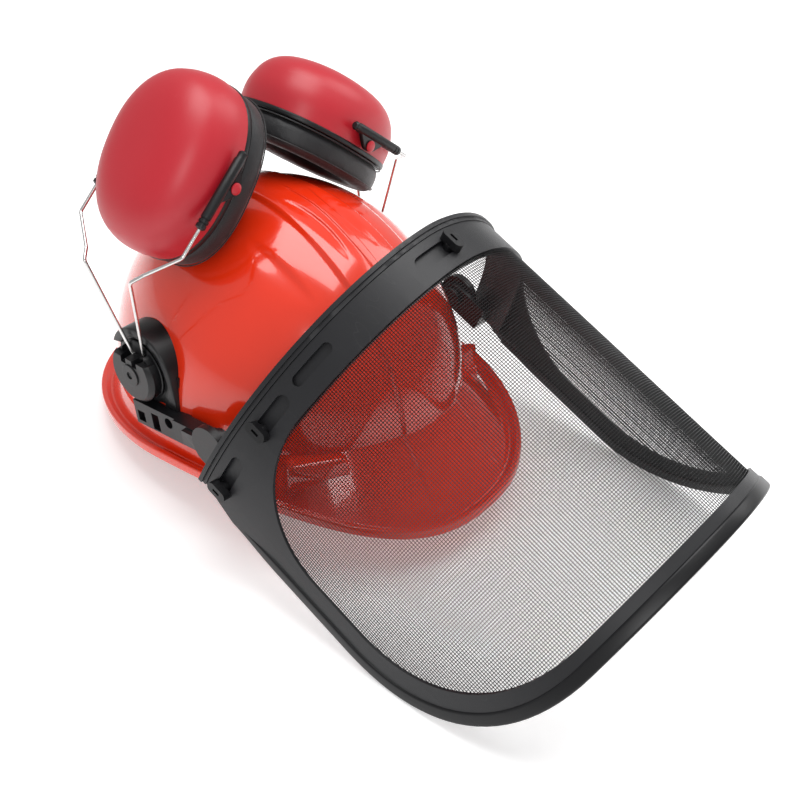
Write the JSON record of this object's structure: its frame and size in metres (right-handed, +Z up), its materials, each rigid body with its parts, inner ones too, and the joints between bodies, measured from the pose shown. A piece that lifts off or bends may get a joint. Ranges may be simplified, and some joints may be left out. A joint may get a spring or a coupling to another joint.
{
  "type": "safety helmet",
  "caption": "Hard hat with a raised mesh face visor, ear muffs parked over the crown and an adjustable harness inside.",
  "frame": {"origin": "middle of the footprint's bounding box, on the table the helmet rests on", "axes": "+Z up from the table, -Y to the helmet's front, +X to the wearer's left"},
  "size_m": [0.2554, 0.4438, 0.2367],
  "materials": {
    "shell_orange": "high-gloss moulded orange-red",
    "cup_red": "satin crimson moulding",
    "black_plastic": "satin black moulding",
    "trim_black": "semi-matt black edge bead",
    "visor_mesh": "fine black woven mesh",
    "spring_wire": "bright drawn spring steel",
    "cushion_leatherette": "soft black leatherette",
    "damping_foam": "open-cell grey foam",
    "rivet_red": "satin red rivet head",
    "webbing": "woven black webbing",
    "harness_plastic": "satin black harness moulding",
    "sweatband_cloth": "brushed foam-backed cloth"
  },
  "bodies": {
    "helmet": {"shell": "shell_orange", "visor_pivot_pin_right": "black_plastic", "side_adapter_right": "black_plastic", "hub_screw_right": "black_plastic", "front_strap_key_right": "harness_plastic", "rear_strap_key_right": "harness_plastic", "crown_strap_from_right": "webbing", "visor_pivot_pin_left": "black_plastic", "side_adapter_left": "black_plastic", "hub_screw_left": "black_plastic", "front_strap_key_left": "harness_plastic", "rear_strap_key_left": "harness_plastic", "crown_strap_from_left": "webbing", "headband": "harness_plastic", "sweatband": "sweatband_cloth", "nape_pad": "sweatband_cloth", "ratchet_case": "harness_plastic"},
    "visor": {"visor_frame": "black_plastic", "visor_mesh": "visor_mesh", "visor_edge_trim": "trim_black", "brow_bracket": "black_plastic", "bracket_lugs": "black_plastic", "visor_strut_right": "black_plastic", "visor_strut_left": "black_plastic"},
    "hub_right": {"hub_cap_right": "black_plastic"},
    "yoke_right": {"wire_yoke_right": "spring_wire"},
    "sliders_right": {"front_slider_right": "black_plastic", "rear_slider_right": "black_plastic", "cup_pins_right": "rivet_red"},
    "muff_right": {"ear_cup_right": "cup_red", "cup_plate_right": "black_plastic", "ear_cushion_right": "cushion_leatherette", "cup_foam_right": "damping_foam"},
    "hub_left": {"hub_cap_left": "black_plastic"},
    "yoke_left": {"wire_yoke_left": "spring_wire"},
    "sliders_left": {"front_slider_left": "black_plastic", "rear_slider_left": "black_plastic", "cup_pins_left": "rivet_red"},
    "muff_left": {"ear_cup_left": "cup_red", "cup_plate_left": "black_plastic", "ear_cushion_left": "cushion_leatherette", "cup_foam_left": "damping_foam"},
    "knob": {"size_knob": "harness_plastic"},
    "rack_right": {"size_rack_right": "harness_plastic"},
    "rack_left": {"size_rack_left": "harness_plastic"}
  },
  "joints": [
    {"name": "visor_tilt", "type": "hinge", "parent": "helmet", "child": "visor", "pos_m": [0, 0.0336, 0.06821], "axis": [1, 0, 0], "range_deg": [-25, 59]},
    {"name": "hub_turn_right", "type": "hinge", "parent": "helmet", "child": "hub_right", "pos_m": [-0.108, 0.10486, 0.07694], "axis": [-1, 0, 0], "range_deg": [0, 180]},
    {"name": "arm_swing_right", "type": "hinge", "parent": "hub_right", "child": "yoke_right", "pos_m": [-0.10005, 0.10565, 0.08522], "axis": [0, -0.9955, 0.0948], "range_deg": [0, 57.6]},
    {"name": "cup_slide_right", "type": "slide", "parent": "yoke_right", "child": "sliders_right", "axis": [0.7536, 0.0623, 0.6544], "range_m": [-0.01, 0.004]},
    {"name": "cup_rock_right", "type": "hinge", "parent": "sliders_right", "child": "muff_right", "pos_m": [-0.05359, 0.11531, 0.18661], "axis": [0, -0.9955, 0.0948], "range_deg": [-6, 2]},
    {"name": "hub_turn_left", "type": "hinge", "parent": "helmet", "child": "hub_left", "pos_m": [0.108, 0.10486, 0.07694], "axis": [-1, 0, 0], "range_deg": [0, 180]},
    {"name": "arm_swing_left", "type": "hinge", "parent": "hub_left", "child": "yoke_left", "pos_m": [0.09943, 0.10559, 0.08459], "axis": [0, 0.9955, -0.0948], "range_deg": [0, 57.6]},
    {"name": "cup_slide_left", "type": "slide", "parent": "yoke_left", "child": "sliders_left", "axis": [-0.8018, 0.0567, 0.5949], "range_m": [-0.003, 0.004]},
    {"name": "cup_rock_left", "type": "hinge", "parent": "sliders_left", "child": "muff_left", "pos_m": [0.05235, 0.11438, 0.17689], "axis": [0, 0.9955, -0.0948], "range_deg": [-6, 2]},
    {"name": "size_knob_turn", "type": "hinge", "parent": "helmet", "child": "knob", "pos_m": [0, 0.17853, 0.03032], "axis": [0, 0.9834, -0.1812], "range_deg": [-70, 70]},
    {"name": "rack_slide_right", "type": "slide", "parent": "helmet", "child": "rack_right", "axis": [-1, 0, 0], "range_m": [-0.0074, 0.0074]},
    {"name": "rack_slide_left", "type": "slide", "parent": "helmet", "child": "rack_left", "axis": [1, 0, 0], "range_m": [-0.0074, 0.0074]}
  ],
  "couplings": [
    {"joint": "arm_swing_right", "follows": "hub_turn_right", "ratio": 0.32},
    {"joint": "arm_swing_left", "follows": "hub_turn_left", "ratio": 0.32},
    {"joint": "rack_slide_right", "follows": "size_knob_turn", "m_per_rad": 0.006},
    {"joint": "rack_slide_left", "follows": "size_knob_turn", "m_per_rad": 0.006}
  ]
}
